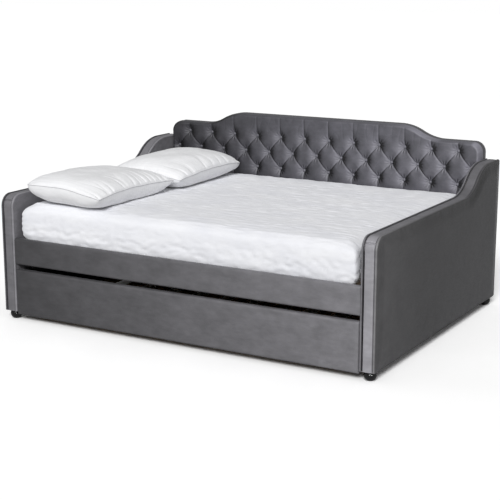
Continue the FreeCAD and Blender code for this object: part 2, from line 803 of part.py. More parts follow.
def wheels(ledger_places):
    """A rigid caster under each end of the front and rear ledgers."""
    radius, half = "wheel_radius", "wheel_width / 2"
    bore = "axle_radius + bolt_clearance"
    profile = [
        (f"-({half})", bore),
        (half, bore),
        (half, "wheel_hub_radius"),
        (f"{half} - wheel_recess", "wheel_hub_radius"),
        (f"{half} - wheel_recess", f"{radius} - wheel_rim"),
        (half, f"{radius} - wheel_rim"),
        (half, f"{radius} - 2", "2", "left"),
        (f"{half} - 2", radius),
        (f"-({half}) + 2", radius, "2", "left"),
        (f"-({half})", f"{radius} - 2"),
        (f"-({half})", f"{radius} - wheel_rim"),
        (f"-({half}) + wheel_recess", f"{radius} - wheel_rim"),
        (f"-({half}) + wheel_recess", "wheel_hub_radius"),
        (f"-({half})", "wheel_hub_radius"),
    ]
    forks, axles = [], []
    for side_name, side in SIDES:
        for end_name, ledger_y in ledger_places:
            name = f"{end_name}_{side_name}"
            middle = (f"{side} * wheel_offset", f"{ledger_y} + trundle_ledger_depth / 2", radius)
            keep(turned(f"trundle_wheel_{name}", "x", profile, middle), f"trundle_wheel_{name}")
            forks.append(fork(name, middle))
            reach = "wheel_width / 2 + ear_gap + plate + 2"
            axles.append(rod(f"axle_{name}", (f"{middle[0]} - ({reach})", middle[1], middle[2]),
                             "axle_radius", f"2 * ({reach})", "x"))
    keep(group("trundle_wheel_forks", forks), "trundle_wheel_forks")
    keep(group("trundle_axles", axles), "trundle_axles")


def fork(name, middle):
    """A plate screwed under a ledger, with an ear each side of the wheel bored for the axle."""
    x, y, z = middle
    gap = "wheel_width / 2 + ear_gap"
    top = "trundle_ledger_low"
    low = f"{z} - axle_radius - 6"
    plate = block(f"fork_plate_{name}", (f"{x} - ({gap}) - plate", f"{y} - ear_width / 2", f"{top} - plate"),
                  (f"2 * ({gap}) + 2 * plate", "ear_width", "plate"))
    ears = [
        block(f"fork_ear_{name}_{count}", (ear_x, f"{y} - ear_width / 2", low),
              ("plate", "ear_width", f"{top} - ({low})"))
        for count, ear_x in enumerate((f"{x} - ({gap}) - plate", f"{x} + {gap}"), start=1)]
    bore = rod(f"fork_bore_{name}", (f"{x} - ({gap}) - plate - 1", y, z), "axle_radius + bolt_clearance",
               f"2 * ({gap}) + 2 * plate + 2", "x")
    return cut(f"fork_{name}", fuse(f"fork_blank_{name}", [plate, *ears]), bore)


# Bedding.

def mattress():
    middle = ("mattress_shift", f"{FRONT} + mattress_setback + mattress_depth / 2", "deck_top")
    body = new_body("mattress", middle)
    half_length, half_depth = "mattress_length / 2", "mattress_depth / 2"
    corners = rectangle(f"-{half_length}", f"-{half_depth}", half_length, half_depth)
    block_pad = pad(body, outline(body, "XY_Plane", corners), "mattress_height")
    doc.recompute()
    rounding = body.newObject("PartDesign::Fillet", "mattress_rounding")
    rounding.Base = (block_pad, [""])
    rounding.UseAllEdges = True
    bind(rounding, "Radius", "mattress_round")
    keep(body, "mattress")


def pillow(name, x, y):
    """A pillow as three stacked outlines, widest at the seam round its middle."""
    low = "deck_top + mattress_height + pillow_rest"
    body = new_body(name, (x, y, low))
    sections = []
    for taper, height in (("pillow_taper", 0), ("0", "pillow_height / 2"), ("pillow_taper", "pillow_height")):
        length, depth = f"pillow_length - 2 * ({taper})", f"pillow_depth - 2 * ({taper})"
        sections.append(outline(body, "XY_Plane", round_rectangle(length, depth, "pillow_corner"), height))
    loft = body.newObject("PartDesign::AdditiveLoft", f"{name}_loft")
    loft.Profile = sections[0]
    loft.Sections = sections[1:]
    loft.Ruled = False
    keep(body, name)


def bedding():
    mattress()
    y = f"{FRONT} + front_pillow_setback + pillow_depth / 2"
    pillow("front_pillow", "front_pillow_middle", y)
    pillow("rear_pillow", "rear_pillow_middle", f"{y} + pillow_spacing")


def check_everything():
    """Stops if any object failed or any node has no sound shape."""
    for thing in doc.Objects:
        if {"Invalid", "Error"} & set(thing.State):
            raise ValueError(f"{thing.Name} failed: {thing.State}")
    for node in nodes:
        if node.Shape.isNull() or not node.Shape.isValid() or not node.Shape.Solids:
            raise ValueError(f"{node.Label} has no sound shape")


def write_nodes():
    os.makedirs("parts", exist_ok=True)
    for node in nodes:
        node.Shape.exportStep(f"parts/{node.Label}.step")
    print(len(nodes), "nodes written")


bed_bolt_tool = bolt_holes()
foot_bolt_tool = foot_bolt_holes()
feet()
bed_bolts()
for arm_name, arm_side in SIDES:
    arm(arm_name, arm_side, bed_bolt_tool, foot_bolt_tool)
back()
tufted_pad()
tuft_buttons()
front_rail()
ledgers()
bed_slats()
support_beams()
corner_brackets(bed_bolt_tool)
trundle()
bedding()
doc.recompute()
check_everything()
write_nodes()
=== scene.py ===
"""A daybed with a tufted camelback and a trundle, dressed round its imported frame.

Metres, +Z up. +X is to the right as seen from the front, the front faces -Y and the floor is Z = 0.
"""
import json
import math

import bmesh
import bpy
import numpy as np
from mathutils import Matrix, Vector, noise


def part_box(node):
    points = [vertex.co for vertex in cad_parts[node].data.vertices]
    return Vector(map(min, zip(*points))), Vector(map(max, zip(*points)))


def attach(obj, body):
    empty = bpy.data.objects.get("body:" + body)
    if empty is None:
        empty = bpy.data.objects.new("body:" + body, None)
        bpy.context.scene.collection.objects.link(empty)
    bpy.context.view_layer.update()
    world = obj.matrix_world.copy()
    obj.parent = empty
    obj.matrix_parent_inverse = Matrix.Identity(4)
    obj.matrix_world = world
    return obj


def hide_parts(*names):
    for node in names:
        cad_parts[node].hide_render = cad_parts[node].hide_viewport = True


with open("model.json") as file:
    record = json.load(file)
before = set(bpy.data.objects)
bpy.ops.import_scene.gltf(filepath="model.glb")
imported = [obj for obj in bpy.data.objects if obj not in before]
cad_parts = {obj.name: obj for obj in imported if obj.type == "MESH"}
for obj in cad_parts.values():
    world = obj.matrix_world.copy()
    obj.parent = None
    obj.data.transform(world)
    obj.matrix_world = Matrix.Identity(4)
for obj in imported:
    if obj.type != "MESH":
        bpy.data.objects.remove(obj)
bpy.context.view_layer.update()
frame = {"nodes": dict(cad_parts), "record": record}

# Arms.
ARM_LEVEL = 0.710
ARM_CORNER = 0.065
ARM_OGEE_START = 1.150
ARM_OGEE_RUN = 0.375
ARM_REAR_CORNER = 0.012
ARM_RIM = 0.0045
ARM_LIP = 0.003
ARM_SWELL = 0.0095
SEAM_WIDTH = 0.006
STRIP_INSET = 0.010
STRIP_CROWN = 0.0074
STRIP_SEAM_LEVEL = 0.681
# Back.
BACK_SHOULDER = 0.957
HUMP_HALF = 0.530
BACK_OGEE_RUN = 0.285
BACK_CORNER = 0.062
EDGE_FALL = 0.002
# Tufting: a pitch along the row, a drop between rows, and the buttons of each row.
TUFT_PITCH = 0.1668
TUFT_DROP = 0.0979
TUFT_TOP = 0.8996
TUFT_ROWS = (12, 13, 12)
TUFT_STAND = 0.050
TUFT_GRID_STEP = 0.0034
# How deep the foam sinks towards a pleat and how far from it that reaches: a broad sag and a narrow fold.
PLEAT_SAGS = ((0.0022, 0.018), (0.0030, 0.0028))
PUCKER_DEPTH = 0.0014
WELL_DEPTH = 0.0165
WELL_FLOOR = 0.007
WELL_REACH = 0.0235
BUTTON_SEAT = 0.0245
BUTTON_RADIUS = 0.0112
BUTTON_DOME = 0.0135
BUTTON_TIP = 0.0133
# Velvet over the front rail and the trundle's panel.
CLOTH = 0.0016
BOARD_ROUND = 0.010
BOARD_FLAP = 0.045
# Bedding.
MATTRESS_GRID = (140, 256, 32)
MATTRESS_ROUND = (0.080, 0.062, 0.070)
MATTRESS_SWELL = 0.010
PILLOW_GRID = (108, 148)
PILLOW_FOLDS = 0.0140
PIPING_RADIUS = 0.0015
# Camera.
CAMERA_PLACE = (3.5008, -6.1005, 1.9717)
CAMERA_YAW = math.radians(30.08)
CAMERA_PITCH = math.radians(12.91)
CAMERA_LENS = 90.96
# Light: the room's strength, and how many times brighter the floor is seen than it is lit.
ROOM_LIGHT = 0.34
FLOOR_LIFT = 2.3


# Shapes in a plane.

def arc(middle, radius, start, finish, step=3):
    """Points on an arc, from one angle to another in degrees."""
    count = max(2, math.ceil(abs(finish - start) / step) + 1)
    angles = np.radians(np.linspace(start, finish, count))
    return np.column_stack([middle[0] + radius * np.cos(angles), middle[1] + radius * np.sin(angles)])


def round_rectangle(low, high, radius):
    """Points round a rectangle with round corners, starting at the upper right one."""
    left, right = low[0] + radius, high[0] - radius
    foot, top = low[1] + radius, high[1] - radius
    corners = ((right, top), (left, top), (left, foot), (right, foot))
    quarters = [arc(corner, radius, 90 * turn, 90 * turn + 90, 15) for turn, corner in enumerate(corners)]
    return np.vstack(quarters)


def ogee(distance, run, rise):
    """How far an ogee of two equal tangent arcs has climbed at a distance along its run."""
    radius = (run ** 2 + rise ** 2) / (4 * rise)
    gone = np.clip(distance, 0, run)
    left = run - gone
    early = radius - np.sqrt(radius ** 2 - np.minimum(gone, run / 2) ** 2)
    late = rise - radius + np.sqrt(radius ** 2 - np.minimum(left, run / 2) ** 2)
    return np.where(gone < run / 2, early, late)


def arm_loop():
    """An arm from the side, as (y, z) from the front foot over the top to the rear foot."""
    low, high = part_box("left_arm_outer_pad")
    front, rear = low.y, high.y
    start = front + ARM_OGEE_START
    climb = np.linspace(start, start + ARM_OGEE_RUN, 60)
    rise = high.z - ARM_LEVEL
    corner = arc((front + ARM_CORNER, ARM_LEVEL - ARM_CORNER), ARM_CORNER, 180, 90)
    slope = np.column_stack([climb, ARM_LEVEL + ogee(climb - start, ARM_OGEE_RUN, rise)])
    end = arc((rear - ARM_REAR_CORNER, high.z - ARM_REAR_CORNER), ARM_REAR_CORNER, 90, 0, 10)
    return np.vstack([[(front, low.z)], corner, slope, end, [(rear, low.z)]])


def back_loop(inset=0.0, foot=None):
    """The back from the front, as (x, z) from the left foot over the hump to the right foot."""
    low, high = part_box("back_edge_strip")
    foot = low.z if foot is None else foot
    half = high.x - inset
    shoulder, hump = BACK_SHOULDER - inset, high.z - inset
    corner = BACK_CORNER - inset
    fall = np.linspace(HUMP_HALF, HUMP_HALF + BACK_OGEE_RUN, 50)
    slope = np.column_stack([fall, hump - ogee(fall - HUMP_HALF, BACK_OGEE_RUN, hump - shoulder)])
    end = arc((half - corner, shoulder - corner), corner, 90, 0)
    right = np.vstack([slope, end, [(half, foot)]])
    left = right[::-1] * (-1, 1)
    return np.vstack([left, right])


def spread(points, step):
    """The same line with its points a step apart."""
    lengths = np.concatenate([[0], np.cumsum(np.linalg.norm(np.diff(points, axis=0), axis=1))])
    places = np.linspace(0, lengths[-1], math.ceil(lengths[-1] / step) + 1)
    return np.column_stack([np.interp(places, lengths, points[:, axis]) for axis in range(points.shape[1])])


def outward(line):
    """Unit normals to the left of a line in a plane, which is outwards on a loop walked clockwise."""
    along = np.gradient(line, axis=0)
    along /= np.linalg.norm(along, axis=1)[:, None]
    return np.column_stack([-along[:, 1], along[:, 0]])


def distance_to(points, line):
    """The distance from each point in a plane to a line of points."""
    nearest = np.full(points.shape[:-1], np.inf)
    for start, finish in zip(line[:-1], line[1:]):
        along = finish - start
        share = np.clip((points - start) @ along / max(along @ along, 1e-12), 0, 1)
        gap = points - start - share[..., None] * along
        nearest = np.minimum(nearest, (gap ** 2).sum(axis=-1))
    return np.sqrt(nearest)


def closed(loop):
    """A loop with its first point again at its end."""
    return np.vstack([loop, loop[:1]])


def nearest_normal(points, line):
    """The outward normal of a line at the place nearest to each point."""
    flat = points.reshape(-1, 2)
    gaps = ((flat[:, None, :] - line[None]) ** 2).sum(axis=2)
    return outward(line)[gaps.argmin(axis=1)].reshape(points.shape)


def eased(length, step, first, last, turns=8):
    """Distances along a length, drawn together over the first and last stretches."""
    turn = 1 - np.cos(np.linspace(0, math.pi / 2, turns))
    middle = np.linspace(first, length - last, math.ceil((length - first - last) / step) + 1)
    return np.concatenate([first * turn[:-1], middle, length - last * turn[-2::-1]])


def rim(distance, radius):
    """A quarter circle from 0 at an edge to 1 at a radius inside it."""
    return np.sqrt(1 - (1 - np.clip(distance / radius, 0, 1)) ** 2)


def smooth(value):
    """An even step from 0 to 1."""
    value = np.clip(value, 0, 1)
    return value * value * (3 - 2 * value)


def bell(distance, width):
    """1 at a distance of 0, falling to nothing over a few widths."""
    return np.exp(-(distance / width) ** 2)


def waves(points, grain, seed):
    """Smooth noise from about -1 to 1, whose lumps are as large as grain along each axis."""
    placed = points.reshape(-1, 3) / np.asarray(grain, float) + seed * 13.7
    return np.array([noise.noise(place) for place in placed.tolist()]).reshape(points.shape[:-1])


def creases(points, grain, seed):
    """Narrow ridges from 0 to 1 along the lines where the noise crosses zero."""
    return np.exp(-12 * np.abs(waves(points, grain, seed)))


# Meshes.

def grid_faces(rows, columns, first=0, ring=False):
    """Quads of a grid of points; on a ring each row's last point joins its first."""
    across = columns if ring else columns - 1
    row, column = np.meshgrid(np.arange(rows - 1), np.arange(across), indexing="ij")
    after = (column + 1) % columns
    quads = np.stack([row * columns + column, row * columns + after,
                      (row + 1) * columns + after, (row + 1) * columns + column], axis=-1)
    return (quads.reshape(-1, 4) + first).tolist()


def in_scene(name, data, spot=(0, 0, 0), turn=(0, 0, 0)):
    """A new object in the scene, at a spot and turned by angles about X, Y and Z."""
    made = bpy.data.objects.new(name, data)
    made.location = spot
    made.rotation_euler = turn
    bpy.context.scene.collection.objects.link(made)
    return made


def piece(name, points, faces, finish, body, stands_for=(), crease=50):
    """A new piece in its place, riding on a body."""
    mesh = bpy.data.meshes.new(name)
    mesh.from_pydata(np.asarray(points, float).reshape(-1, 3).tolist(), [], faces)
    work = bmesh.new()
    work.from_mesh(mesh)
    bmesh.ops.recalc_face_normals(work, faces=work.faces)
    work.to_mesh(mesh)
    work.free()
    mesh.shade_smooth()
    mesh.set_sharp_from_angle(angle=math.radians(crease))
    made = in_scene(name, mesh)
    mesh.materials.append(finish)
    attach(made, body)
    if stands_for:
        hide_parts(*stands_for)
    return made


def edge_order(order):
    """The numbers along the edge of a grid, once round."""
    return np.concatenate([order[0], order[1:, -1], order[-1, -2::-1], order[-2:0:-1, 0]])


def capped_grid(points):
    """Faces of a grid whose edge lies flat, closed behind by one face."""
    rows, columns = points.shape[:2]
    order = np.arange(rows * columns).reshape(rows, columns)
    return grid_faces(rows, columns) + [edge_order(order)[::-1].tolist()]


def swept(rings):
    """Faces of closed rings joined one after another, with both ends closed."""
    count, around = rings.shape[:2]
    last = (count - 1) * around
    ends = [list(range(around))[::-1], list(range(last, last + around))]
    return grid_faces(count, around, ring=True) + ends


def filled(loop, columns, rows):
    """A grid of (across, up) that fills a loop with a level foot; its rows follow the upper edge."""
    top = np.interp(columns, loop[1:-1, 0], loop[1:-1, 1])
    up = loop[0, 1] + rows[:, None] * (top - loop[0, 1])[None, :]
    across = np.broadcast_to(columns, up.shape)
    return np.stack([across, up], axis=-1)


# Materials.

def put(tree, kind, inputs=None, **settings):
    """A shader node with its settings and inputs; an input is a value or another node's output."""
    node = tree.nodes.new("ShaderNode" + kind)
    for setting, value in settings.items():
        setattr(node, setting, value)
    for socket, value in (inputs or {}).items():
        if isinstance(value, bpy.types.NodeSocket):
            tree.links.new(value, node.inputs[socket])
        else:
            node.inputs[socket].default_value = value
    return node


def start_material(name, **constants):
    """A material, its node tree, its shader and the object's own coordinates."""
    material = bpy.data.materials.new(name)
    material.use_nodes = True
    tree = material.node_tree
    shader = tree.nodes["Principled BSDF"]
    for socket, value in constants.items():
        shader.inputs[socket.replace("_", " ")].default_value = value
    return material, tree, shader, put(tree, "TexCoord").outputs["Object"]


def stretched(tree, where, grain):
    """Coordinates whose unit is as long as grain along each axis."""
    scale = tuple(1 / size for size in grain)
    return put(tree, "Mapping", {"Vector": where, "Scale": scale}).outputs["Vector"]


def speckle(tree, where, grain, detail=2.0, rough=0.5):
    """Noise from 0 to 1 with lumps as large as grain."""
    inputs = {"Vector": stretched(tree, where, grain), "Scale": 1.0, "Detail": detail, "Roughness": rough}
    return put(tree, "TexNoise", inputs).outputs["Fac"]


def ramp(tree, value, stops):
    """Colours by value, from a list of (place, colour)."""
    node = put(tree, "ValToRGB", {"Fac": value})
    while len(node.color_ramp.elements) < len(stops):
        node.color_ramp.elements.new(1.0)
    for element, (place, colour) in zip(node.color_ramp.elements, stops):
        element.position = place
        element.color = (*colour, 1)
    return node.outputs["Color"]


def between(tree, value, low, high, start=0.0, finish=1.0):
    """A number that goes from low to high while a value goes from start to finish."""
    inputs = {"Value": value, "From Min": start, "From Max": finish, "To Min": low, "To Max": high}
    return put(tree, "MapRange", inputs).outputs["Result"]


def times(tree, first, second):
    """Two values multiplied."""
    return put(tree, "Math", {0: first, 1: second}, operation="MULTIPLY").outputs[0]


def tinted(tree, colour, amount):
    """A colour made lighter or darker by a value round 1."""
    return put(tree, "VectorMath", {0: colour, 1: amount}, operation="MULTIPLY").outputs["Vector"]


def relief(tree, height, depth, under=None):
    """A bump of a depth in metres, on top of another."""
    inputs = {"Height": height, "Distance": depth, "Strength": 1.0}
    if under is not None:
        inputs["Normal"] = under
    return put(tree, "Bump", inputs).outputs["Normal"]


def velvet(name, shade=1.0, along=None, lean=0.0, edge=1.0, blue=1.0):
    """Grey velvet in soft brushed patches over a short pile; its arguments paint light and shade into its
    colour.

    shade makes the whole velvet lighter or darker, as painted light or shade for how much light the panel
    gets, and blue makes it bluer. along is an axis, its start and finish, and the painted light's share of
    the shade at stops from 0 to 1 between them. lean is how much lighter the velvet is painted where it
    faces +X, towards the sun, and darker where it faces -X: painted light and shade. edge is how many times
    lighter it is painted where it turns away from X altogether: painted light on the front and top lips.
    """
    material, tree, shader, where = start_material(
        name, Roughness=0.50, Specular_IOR_Level=0.45, Sheen_Weight=0.16, Sheen_Roughness=0.3,
        Sheen_Tint=(0.74, 0.75, 0.80, 1))
    patches = speckle(tree, where, (0.11, 0.09, 0.07), 3.0, 0.55)
    strokes = speckle(tree, where, (0.05, 0.05, 0.02), 2.0)
    pile = speckle(tree, where, (0.0011, 0.0011, 0.0011), 1.0)
    dark = tuple(shade * part for part in (0.110, 0.108, 0.116 * blue))
    light = tuple(shade * part for part in (0.146, 0.143, 0.154 * blue))
    nap_and_painted_light = ramp(tree, patches, [(0.30, dark), (0.70, light)])
    # Painted light and shade: the velvet's shade runs along an axis.
    if along:
        axis, start, finish, stops = along
        place = put(tree, "SeparateXYZ", {0: where}).outputs[axis]
        share = between(tree, place, 0.0, 1.0, start, finish)
        nap_and_painted_light = tinted(tree, nap_and_painted_light, ramp(tree, share, [(stop, (part,) * 3) for stop, part in stops]))
    facing = put(tree, "SeparateXYZ", {0: put(tree, "TexCoord").outputs["Normal"]}).outputs["X"]
    # Painted light: lighter where the surface turns away from X.
    if edge != 1.0:
        aside = put(tree, "Math", {0: facing}, operation="ABSOLUTE").outputs[0]
        nap_and_painted_light = tinted(tree, nap_and_painted_light, between(tree, aside, edge, 1.0, 0.25, 0.97))
    # Painted light and shade: lighter where it faces +X, towards the sun, darker where it faces -X.
    if lean:
        nap_and_painted_light = tinted(tree, nap_and_painted_light, between(tree, facing, 1 - lean, 1 + lean, -0.32, 0.32))
    stroked = tinted(tree, nap_and_painted_light, between(tree, strokes, 0.82, 1.18))
    tree.links.new(tinted(tree, stroked, between(tree, pile, 0.80, 1.20)), shader.inputs["Base Color"])
    crumple = relief(tree, strokes, 0.0011)
    tree.links.new(relief(tree, pile, 0.00045, crumple), shader.inputs["Normal"])
    return material


def ticking():
    """White quilted knit of a mattress cover."""
    material, tree, shader, where = start_material(
        "ticking", Roughness=0.82, Specular_IOR_Level=0.25, Sheen_Weight=0.25, Sheen_Roughness=0.5)
    knit = speckle(tree, where, (0.0026, 0.0016, 0.0016), 1.0)
    patches = speckle(tree, where, (0.20, 0.12, 0.08), 2.0)
    white = ramp(tree, patches, [(0.3, (0.775, 0.782, 0.822)), (0.7, (0.840, 0.845, 0.873))])
    tree.links.new(tinted(tree, white, between(tree, knit, 0.93, 1.05)), shader.inputs["Base Color"])
    tree.links.new(relief(tree, knit, 0.0007), shader.inputs["Normal"])
    return material


def pillow_cotton():
    """White cotton sateen with narrow satin stripes across the pillow."""
    material, tree, shader, where = start_material(
        "pillow_cotton", Specular_IOR_Level=0.3, Sheen_Weight=0.2, Sheen_Roughness=0.4)
    stripes = put(tree, "TexWave", {"Vector": where, "Scale": 16.0, "Distortion": 0.0},
                  wave_type="BANDS", bands_direction="Y").outputs["Fac"]
    satin = ramp(tree, stripes, [(0.45, (0, 0, 0)), (0.55, (1, 1, 1))])
    weave = speckle(tree, where, (0.0009, 0.0009, 0.0009), 1.0)
    soft = speckle(tree, where, (0.03, 0.06, 0.03), 3.0)
    white = ramp(tree, weave, [(0.3, (0.84, 0.844, 0.862)), (0.7, (0.90, 0.902, 0.915))])
    tree.links.new(tinted(tree, white, between(tree, satin, 0.975, 1.01)), shader.inputs["Base Color"])
    tree.links.new(between(tree, satin, 0.72, 0.42), shader.inputs["Roughness"])
    tree.links.new(relief(tree, weave, 0.0003, relief(tree, soft, 0.003)), shader.inputs["Normal"])
    return material


def timber(name, along):
    """Planed pine with its grain along X, Y or Z."""
    material, tree, shader, where = start_material(name, Specular_IOR_Level=0.35)
    grain = [0.42 if axis == along else 0.016 for axis in "XYZ"]
    fine = [0.09 if axis == along else 0.0014 for axis in "XYZ"]
    bands = speckle(tree, where, grain, 2.0, 0.6)
    rings = put(tree, "Math", {0: times(tree, bands, 34.0)}, operation="SINE").outputs[0]
    fibres = speckle(tree, where, fine, 2.0)
    pine = ramp(tree, rings, [(0.15, (0.34, 0.21, 0.115)), (0.75, (0.52, 0.375, 0.225))])
    tree.links.new(tinted(tree, pine, between(tree, fibres, 0.78, 1.18)), shader.inputs["Base Color"])
    tree.links.new(between(tree, fibres, 0.48, 0.72), shader.inputs["Roughness"])
    tree.links.new(relief(tree, fibres, 0.0004), shader.inputs["Normal"])
    return material


def metal(name, colour, rough, metallic, grain, depth):
    """Metal or moulded plastic with a fine uneven surface."""
    material, tree, shader, where = start_material(name, Metallic=metallic)
    peel = speckle(tree, where, (grain, grain, grain), 2.0)
    wear = speckle(tree, where, (0.03, 0.03, 0.03), 4.0, 0.65)
    tones = ramp(tree, wear, [(0.3, tuple(0.82 * part for part in colour)), (0.7, colour)])
    tree.links.new(tinted(tree, tones, between(tree, peel, 0.92, 1.06)), shader.inputs["Base Color"])
    tree.links.new(between(tree, wear, rough * 0.8, rough * 1.3), shader.inputs["Roughness"])
    tree.links.new(relief(tree, peel, depth), shader.inputs["Normal"])
    return material


def webbing():
    """Woven tape: warp and weft ribs."""
    material, tree, shader, where = start_material("webbing", Roughness=0.85, Sheen_Weight=0.2)
    ribs = [put(tree, "TexWave", {"Vector": where, "Scale": scale, "Distortion": 0.4},
                wave_type="BANDS", bands_direction=way).outputs["Fac"]
            for way, scale in (("X", 110.0), ("Y", 160.0))]
    weave = times(tree, ribs[0], ribs[1])
    tree.links.new(ramp(tree, weave, [(0.0, (0.33, 0.30, 0.25)), (1.0, (0.62, 0.58, 0.50))]),
                   shader.inputs["Base Color"])
    tree.links.new(relief(tree, weave, 0.0004), shader.inputs["Normal"])
    return material


VELVET = velvet("velvet")
# Painted light: both front panels are painted lighter towards their right ends, where more light falls on
# them.
FRONT_PAINTED_LIGHT = ("X", -1.05, 1.05, ((0.0, 0.26), (0.5, 0.60), (1.0, 1.0)))
# Each panel has its own copy of the velvet, lighter or darker, graded along an axis and with its own tint:
# painted light, shade and highlights for how the light falls on that panel.
PAINTED_LIGHT_VELVETS = {
    "left_arm_outer_pad": velvet("velvet_left_outer", 0.95),
    "right_arm_outer_pad": velvet(
        "velvet_right_outer", 0.56,
        ("Y", -0.84, 0.84, ((0.0, 1.0), (0.15, 0.66), (0.35, 0.40), (1.0, 0.34))),
        edge=2.5, blue=0.97),
    "left_arm_inner_pad": velvet("velvet_left_inner", 1.55, edge=1.15),
    "right_arm_inner_pad": velvet("velvet_right_inner", 0.90, edge=1.6),
    "left_arm_edge_strip": velvet("velvet_left_strip", 1.32, ("Z", 0.05, 0.70, ((0.0, 0.80), (1.0, 1.0)))),
    "right_arm_edge_strip": velvet(
        "velvet_right_strip", 2.35,
        ("Y", -0.84, 0.84,
         ((0.0, 1.0), (0.02, 0.95), (0.06, 0.55), (0.60, 0.45), (0.75, 0.40), (1.0, 0.40)))),
    "front_rail_pad": velvet("velvet_rail", 1.42, FRONT_PAINTED_LIGHT),
    "trundle_front_pad": velvet("velvet_trundle", 1.36, FRONT_PAINTED_LIGHT),
    "back_tufted_pad": velvet(
        "velvet_tufted", 0.78, ("X", -1.0, 1.0, ((0.0, 0.32), (0.35, 0.70), (0.7, 1.0), (1.0, 1.05))),
        lean=0.92, blue=1.08),
    "tuft_buttons": velvet(
        "velvet_buttons", 1.3, ("X", -1.0, 1.0, ((0.0, 0.6), (0.7, 1.0), (1.0, 1.0))), blue=1.08),
    "back_edge_strip": velvet("velvet_back_edge", 0.45),
}
FINISH = {
    "velvet": VELVET,
    "timber": timber("timber_x", "X"),
    "gloss_black": metal("gloss_black", (0.004, 0.004, 0.0045), 0.09, 0.0, 0.004, 0.00003),
    "black_steel": metal("black_steel", (0.030, 0.030, 0.032), 0.45, 0.0, 0.0012, 0.00008),
    "zinc_steel": metal("zinc_steel", (0.60, 0.60, 0.58), 0.34, 1.0, 0.006, 0.00003),
    "wheel_plastic": metal("wheel_plastic", (0.045, 0.045, 0.047), 0.42, 0.0, 0.0015, 0.00006),
    "webbing": webbing(),
    "mattress_ticking": ticking(),
    "pillow_cotton": pillow_cotton(),
}
PIPING = metal("pillow_piping", (0.56, 0.56, 0.58), 0.6, 0.0, 0.002, 0.0002)
# Boards behind the velvet fronts and round the tray, made near-black as painted shade for the dark gap
# between the front rail and the trundle.
BOARDS_IN_PAINTED_SHADE = (
    "front_rail_board", "trundle_front_board", "trundle_left_side", "trundle_right_side",
    "trundle_rear_board")
PAINTED_SHADE_CLOTH = metal("black_painted_shade", (0.012, 0.012, 0.013), 0.9, 0.0, 0.0015, 0.0002)
TIMBER = {"X": FINISH["timber"], "Y": timber("timber_y", "Y"), "Z": timber("timber_z", "Z")}


# Arms.

def arm_panel(side_name, side, face):
    """A padded face of an arm; its rim rounds into the seam beside the edge strip."""
    node = f"{side_name}_arm_{face}_pad"
    low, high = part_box(node)
    outwards = side if face == "outer" else -side
    seat, thickness = low.x if outwards > 0 else high.x, high.x - low.x
    loop = arm_loop()
    columns = loop[0, 0] + eased(loop[-1, 0] - loop[0, 0], 0.012, ARM_CORNER, ARM_REAR_CORNER, 22)
    tall = high.z - low.z
    rows = eased(tall, 0.012, ARM_RIM * 2, ARM_RIM * 2, 9) / tall
    flat = filled(loop, columns, rows)
    inside = distance_to(flat, closed(loop))
    rolled = flat + ARM_LIP * smooth(1 - inside / 0.012)[..., None] * nearest_normal(flat, loop)
    place = np.dstack([np.full(flat.shape[:2], seat), rolled])
    height = thickness * rim(inside, ARM_RIM)
    settle = smooth(inside / 0.05)
    if face == "outer":
        swell = 0.35 + 0.65 * smooth((place[..., 2] - low.z) / 0.30)
        uneven = settle * waves(place, (0.2, 0.22, 0.16), 1)
        height += ARM_SWELL * swell * smooth(inside / 0.07) + 0.0012 * uneven
    else:
        height -= 0.0012 * settle * (0.5 + 0.5 * waves(place, (0.2, 0.16, 0.12), 2))
    tucks = np.abs(waves(place, (0.1, 0.028, 0.4), 3))
    height -= 0.0026 * tucks * bell(inside - 0.016, 0.012)
    place[..., 0] += outwards * height
    made = piece(node, place, capped_grid(place), PAINTED_LIGHT_VELVETS.get(node, VELVET), "frame", [node])


def arm_strip(side_name):
    """The padded strip round an arm's edge, gathered at the seam under its front corner."""
    node = f"{side_name}_arm_edge_strip"
    low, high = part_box(node)
    line = spread(arm_loop(), 0.0025)
    normal = outward(line)
    half = (high.x - low.x) / 2 - 0.0004
    middle = (high.x + low.x) / 2
    inside = 2 * (half - SEAM_WIDTH)
    across = np.concatenate([[-half], eased(inside, 0.006, 0.004, 0.004, 6) - inside / 2, [half]])
    inner = np.maximum(half - SEAM_WIDTH - np.abs(across), 0)
    crown = 0.0006 + STRIP_CROWN * rim(inner, 0.0035) + 0.0022 * rim(inner, 0.022)
    seat = line - STRIP_INSET * normal
    x = np.broadcast_to(across, (len(line), len(across)))
    place = np.dstack([x, np.repeat(line[:, None, :], len(across), 1)])
    front = smooth((line[0, 0] + 0.05 - line[:, :1]) / 0.04)
    over_seam = line[:, 1:] - STRIP_SEAM_LEVEL
    seam = front * bell(over_seam, 0.0030)
    above = front * smooth(over_seam / 0.006) * smooth((ARM_LEVEL + 0.002 - line[:, 1:]) / 0.02)
    gathers = front * bell(over_seam - 0.005, 0.020) * waves(place, (0.011, 0.04, 0.03), 5)
    drawn = 0.0009 * waves(place, (0.05, 0.05, 0.05), 4)
    bulk = crown > 0.004
    height = crown + bulk * (drawn - STRIP_CROWN * seam + 0.0022 * above + 0.0018 * gathers)
    spots = np.dstack([middle + x, seat[:, None, :] + height[..., None] * normal[:, None, :]])
    points, faces = spots.reshape(-1, 3).tolist(), capped_strip(spots)
    wrap = foot_wrap(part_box(f"{side_name}_arm_inner_pad"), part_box(f"{side_name}_arm_outer_pad"))
    faces += [[len(points) + index for index in face] for face in swept(wrap)]
    points += wrap.reshape(-1, 3).tolist()
    made = piece(node, points, faces, PAINTED_LIGHT_VELVETS[node], "frame", [node], 60)


